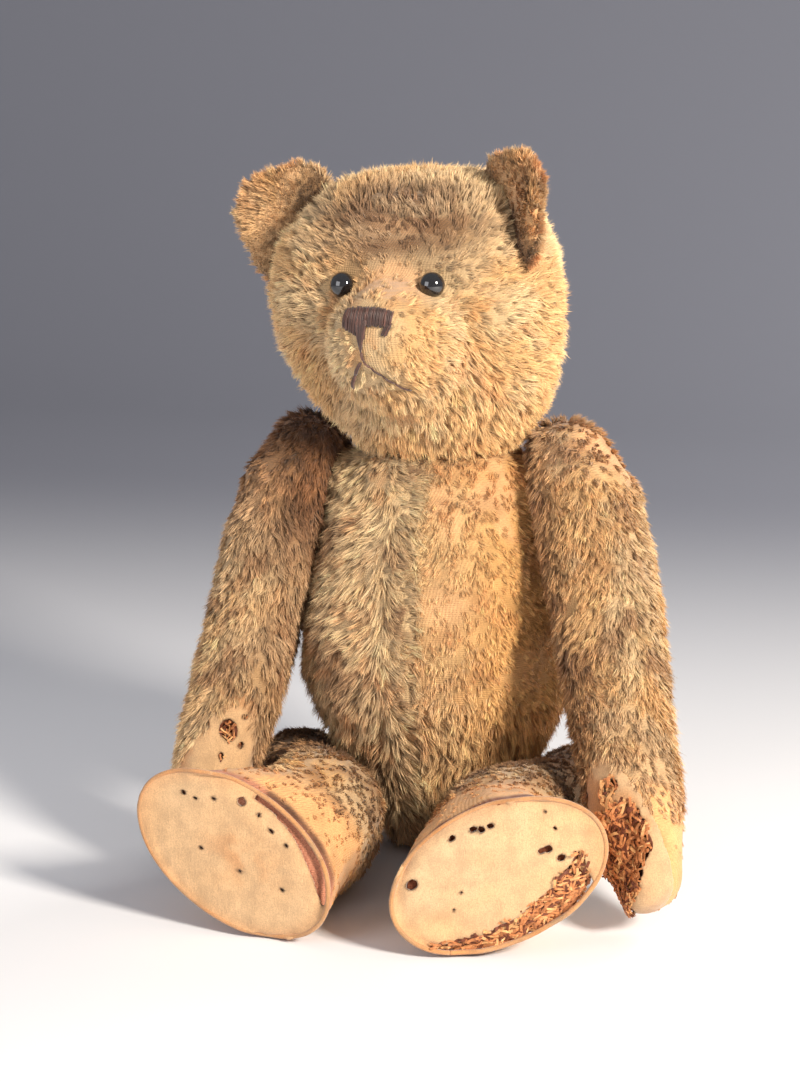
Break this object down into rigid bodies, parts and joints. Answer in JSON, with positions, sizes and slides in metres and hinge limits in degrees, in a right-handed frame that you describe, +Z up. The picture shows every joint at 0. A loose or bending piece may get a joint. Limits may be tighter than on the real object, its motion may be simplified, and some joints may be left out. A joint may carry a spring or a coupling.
{
  "type": "jointed teddy bear",
  "caption": "Worn old teddy bear, sitting: gold plush over wood wool, felt soles and paws torn open, button eyes, turning head and limbs.",
  "frame": {"origin": "middle of the flat seat, on the surface the bear sits on", "axes": "+Z up; -Y the way the bear's body faces; +X to the bear's own left"},
  "size_m": [0.2756, 0.2444, 0.3772],
  "materials": {
    "plush": "mohair pile on woven cotton, matted, bald in patches and dusty",
    "felt": "matt wool felt, stained, moth-eaten and torn",
    "wood_wool": "tangled dry wood shavings",
    "hardboard": "plain pressed board",
    "steel": "dull, lightly rusted",
    "button": "polished black",
    "thread": "dark brown embroidery cotton"
  },
  "bodies": {
    "body": {"body_cover": "plush", "body_stuffing": "wood_wool", "neck_body_disc": "hardboard", "neck_body_washer": "steel", "neck_pin": "steel", "right_shoulder_body_disc": "hardboard", "right_shoulder_body_washer": "steel", "right_shoulder_pin": "steel", "right_hip_body_disc": "hardboard", "right_hip_body_washer": "steel", "right_hip_pin": "steel", "left_shoulder_body_disc": "hardboard", "left_shoulder_body_washer": "steel", "left_shoulder_pin": "steel", "left_hip_body_disc": "hardboard", "left_hip_body_washer": "steel", "left_hip_pin": "steel"},
    "head": {"head_cover": "plush", "head_stuffing": "wood_wool", "neck_head_disc": "hardboard", "neck_head_washer": "steel", "right_eye": "button", "left_eye": "button", "nose_stitching": "thread", "mouth_stitching": "thread", "right_ear": "plush", "left_ear": "plush"},
    "right_arm": {"right_arm_cover": "plush", "right_arm_stuffing": "wood_wool", "right_paw_pad": "felt", "right_shoulder_arm_disc": "hardboard", "right_shoulder_arm_washer": "steel"},
    "left_arm": {"left_arm_cover": "plush", "left_arm_stuffing": "wood_wool", "left_paw_pad": "felt", "left_shoulder_arm_disc": "hardboard", "left_shoulder_arm_washer": "steel"},
    "right_leg": {"right_leg_cover": "plush", "right_leg_stuffing": "wood_wool", "right_foot_insole": "hardboard", "right_foot_sole": "felt", "right_hip_leg_disc": "hardboard", "right_hip_leg_washer": "steel"},
    "left_leg": {"left_leg_cover": "plush", "left_leg_stuffing": "wood_wool", "left_foot_insole": "hardboard", "left_foot_sole": "felt", "left_hip_leg_disc": "hardboard", "left_hip_leg_washer": "steel"}
  },
  "joints": [
    {"name": "neck", "type": "hinge", "parent": "body", "child": "head", "pos_m": [0, 0.004, 0.222], "axis": [0, 0, 1], "continuous": true},
    {"name": "right_shoulder", "type": "hinge", "parent": "body", "child": "right_arm", "pos_m": [-0.05747, 0.002, 0.198], "axis": [-0.9833, 0, 0.1822], "range_deg": [-3, 10]},
    {"name": "left_shoulder", "type": "hinge", "parent": "body", "child": "left_arm", "pos_m": [0.05415, 0.002, 0.198], "axis": [-0.9588, 0, -0.284], "range_deg": [-13, 5]},
    {"name": "right_hip", "type": "hinge", "parent": "body", "child": "right_leg", "pos_m": [-0.055, 0.004, 0.032], "axis": [-1, 0, 0], "range_deg": [-90, 5]},
    {"name": "left_hip", "type": "hinge", "parent": "body", "child": "left_leg", "pos_m": [0.055, 0.004, 0.032], "axis": [-1, 0, 0], "range_deg": [-90, 2]}
  ]
}
